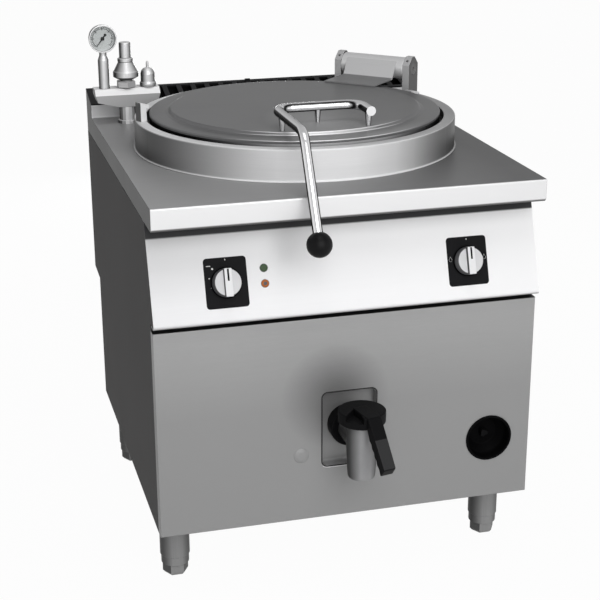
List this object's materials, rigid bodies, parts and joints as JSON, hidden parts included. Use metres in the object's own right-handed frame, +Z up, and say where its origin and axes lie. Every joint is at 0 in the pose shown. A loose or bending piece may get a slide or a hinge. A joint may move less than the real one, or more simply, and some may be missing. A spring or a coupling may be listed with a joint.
{
  "type": "steam jacketed kettle",
  "caption": "Free-standing jacketed boiling pan with a hinged round lid, drain valve, steam safety fittings and a slanted control panel on a steel cabinet.",
  "frame": {"origin": "on the floor, under the middle of the kettle's bounding box", "axes": "+Z up, -Y towards the cook (the control panel's side), +X to the cook's right"},
  "size_m": [0.805, 1.0741, 1.0795],
  "materials": {
    "stainless": "satin stainless steel, fine brushed grain",
    "bright_stainless": "brighter satin stainless steel",
    "cabinet_steel": "plain rolled stainless sheet and bar",
    "foot_steel": "turned and hexagonal steel",
    "chrome_bar": "polished",
    "black_enamel": "black stove enamel",
    "black_plastic": "moulded black phenolic",
    "black_plate": "smooth black printed plate",
    "silver_knob": "silver-coated moulding",
    "green_lens": "translucent green",
    "amber_lens": "translucent amber",
    "dial_white": "printed dial",
    "needle_black": "painted pointer",
    "clear_lens": "clear",
    "brass_parts": "machined brass",
    "mineral_wool": "mineral wool blanket"
  },
  "bodies": {
    "cabinet": {"amber_lamp": "amber_lens", "cabinet_frame": "cabinet_steel", "cable_gland": "black_plastic", "control_panel": "bright_stainless", "counterbalance_spring": "chrome_bar", "drain_pipe": "stainless", "drain_valve_body": "stainless", "flue_grille": "black_enamel", "front_panel": "stainless", "gauge_case": "stainless", "gauge_dial": "dial_white", "gauge_lens": "clear_lens", "gauge_stem": "stainless", "green_lamp": "green_lens", "heat_regulator": "black_plastic", "heating_elements": "brass_parts", "hinge_axle": "chrome_bar", "hinge_upright_left": "bright_stainless", "hinge_upright_right": "bright_stainless", "inner_vessel": "stainless", "insulation_wrap": "mineral_wool", "left_side_panel": "cabinet_steel", "level_cup": "black_plastic", "lid_guide": "bright_stainless", "manifold_box": "bright_stainless", "rear_panel": "cabinet_steel", "regulator_plate": "black_plate", "reset_cap": "stainless", "right_side_panel": "cabinet_steel", "safety_valve_body": "stainless", "steam_jacket": "stainless", "steam_riser": "stainless", "vacuum_valve_body": "stainless", "valve_flange": "black_plastic", "valve_tray": "stainless", "water_pipe": "chrome_bar", "water_plate": "black_plate", "water_selector": "black_plastic", "water_spout": "bright_stainless", "water_valve": "brass_parts", "well_collar": "stainless", "worktop": "stainless"},
    "lid": {"lid_shell": "stainless", "lid_liner": "stainless", "lid_handle": "chrome_bar", "ball_knob": "black_plastic", "lid_strap": "bright_stainless", "hinge_tube": "stainless"},
    "drain_lever": {"drain_handle": "black_plastic", "drain_plug": "brass_parts"},
    "regulator_knob": {"regulator_knob": "silver_knob"},
    "water_knob": {"water_knob": "silver_knob"},
    "gauge_needle": {"gauge_needle": "needle_black"},
    "relief_cap": {"safety_valve_cap": "stainless"},
    "vacuum_pin": {"vacuum_valve_pin": "stainless"},
    "level_knob": {"level_knob": "black_plastic"},
    "foot_front_left": {"foot_front_left": "foot_steel"},
    "foot_front_right": {"foot_front_right": "foot_steel"},
    "foot_rear_left": {"foot_rear_left": "foot_steel"},
    "foot_rear_right": {"foot_rear_right": "foot_steel"}
  },
  "joints": [
    {"name": "lid_hinge", "type": "hinge", "parent": "cabinet", "child": "lid", "pos_m": [0.27719, 0.35919, 0.957], "axis": [-0.7071, 0.7071, 0], "range_deg": [0, 85]},
    {"name": "drain_valve_turn", "type": "hinge", "parent": "cabinet", "child": "drain_lever", "pos_m": [0, -0.426, 0.397], "axis": [0, 0, 1], "range_deg": [0, 90]},
    {"name": "regulator_turn", "type": "hinge", "parent": "cabinet", "child": "regulator_knob", "pos_m": [-0.25, -0.33189, 0.681], "axis": [0, 0.9428, -0.3335], "range_deg": [0, 300]},
    {"name": "water_selector_turn", "type": "hinge", "parent": "cabinet", "child": "water_knob", "pos_m": [0.25, -0.33189, 0.681], "axis": [0, 0.9428, -0.3335], "range_deg": [-90, 90]},
    {"name": "needle_turn", "type": "hinge", "parent": "cabinet", "child": "gauge_needle", "pos_m": [-0.373, 0.3945, 1.0475], "axis": [0, 1, 0], "range_deg": [0, 270], "stiffness_Nm_per_rad": 0.0008, "springref_deg": -17.19},
    {"name": "relief_cap_lift", "type": "slide", "parent": "cabinet", "child": "relief_cap", "axis": [0, 0, 1], "range_m": [0, 0.003], "stiffness_N_per_m": 900, "springref_m": -0.004},
    {"name": "vacuum_pin_press", "type": "slide", "parent": "cabinet", "child": "vacuum_pin", "axis": [0, 0, -1], "range_m": [0, 0.003], "stiffness_N_per_m": 120, "springref_m": -0.003},
    {"name": "level_tap_turn", "type": "hinge", "parent": "cabinet", "child": "level_knob", "pos_m": [0.309, -0.304, 0.285], "axis": [0, 1, 0], "range_deg": [0, 270]},
    {"name": "front_left_foot_screw", "type": "slide", "parent": "cabinet", "child": "foot_front_left", "axis": [0, 0, -1], "range_m": [0, 0.03]},
    {"name": "front_right_foot_screw", "type": "slide", "parent": "cabinet", "child": "foot_front_right", "axis": [0, 0, -1], "range_m": [0, 0.03]},
    {"name": "rear_left_foot_screw", "type": "slide", "parent": "cabinet", "child": "foot_rear_left", "axis": [0, 0, -1], "range_m": [0, 0.03]},
    {"name": "rear_right_foot_screw", "type": "slide", "parent": "cabinet", "child": "foot_rear_right", "axis": [0, 0, -1], "range_m": [0, 0.03]}
  ]
}
